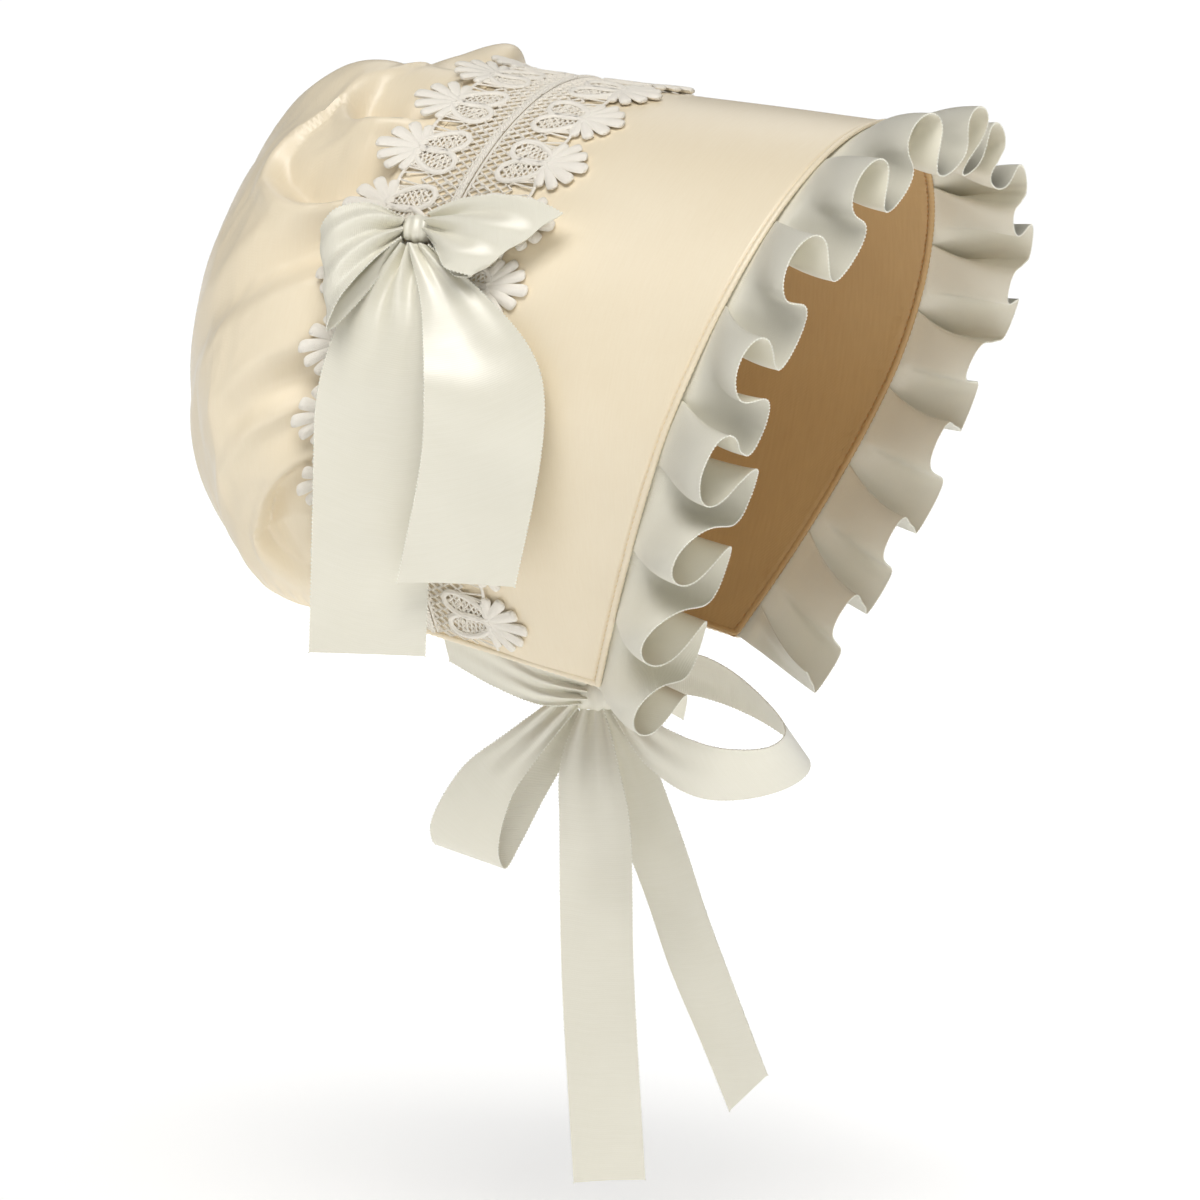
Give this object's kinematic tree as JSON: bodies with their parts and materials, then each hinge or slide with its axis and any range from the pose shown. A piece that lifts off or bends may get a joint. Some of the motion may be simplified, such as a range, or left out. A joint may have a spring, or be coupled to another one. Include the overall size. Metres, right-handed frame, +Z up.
{
  "type": "poke bonnet",
  "caption": "Satin poke bonnet with a deep flared brim, gathered crown, lace band over the seam, pleated ribbon rim, side bow and ribbons tied in a bow below.",
  "frame": {"origin": "inside the bonnet on its middle line, where it rests on top of the head", "axes": "+Z up, -Y to the front of the bonnet, +X to the wearer's left"},
  "size_m": [0.2081, 0.2753, 0.3931],
  "materials": {
    "satin": "cream satin",
    "lining": "plain tan lining",
    "lace": "warm white guipure lace",
    "ribbon": "ivory satin ribbon"
  },
  "bodies": {
    "root": {"crown": "satin", "brim": "satin", "brim_lining": "lining", "lace_band": "lace", "ruffle": "ribbon", "bow_knot": "ribbon", "bow_loop_front": "ribbon", "bow_loop_back": "ribbon", "bow_tail_back": "ribbon", "bow_tail_front": "ribbon", "tie_strap_right": "ribbon", "tie_strap_left": "ribbon", "tie_knot": "ribbon", "tie_loop_right": "ribbon", "tie_loop_left": "ribbon", "tie_tail_right": "ribbon", "tie_tail_left": "ribbon"}
  },
  "joints": []
}
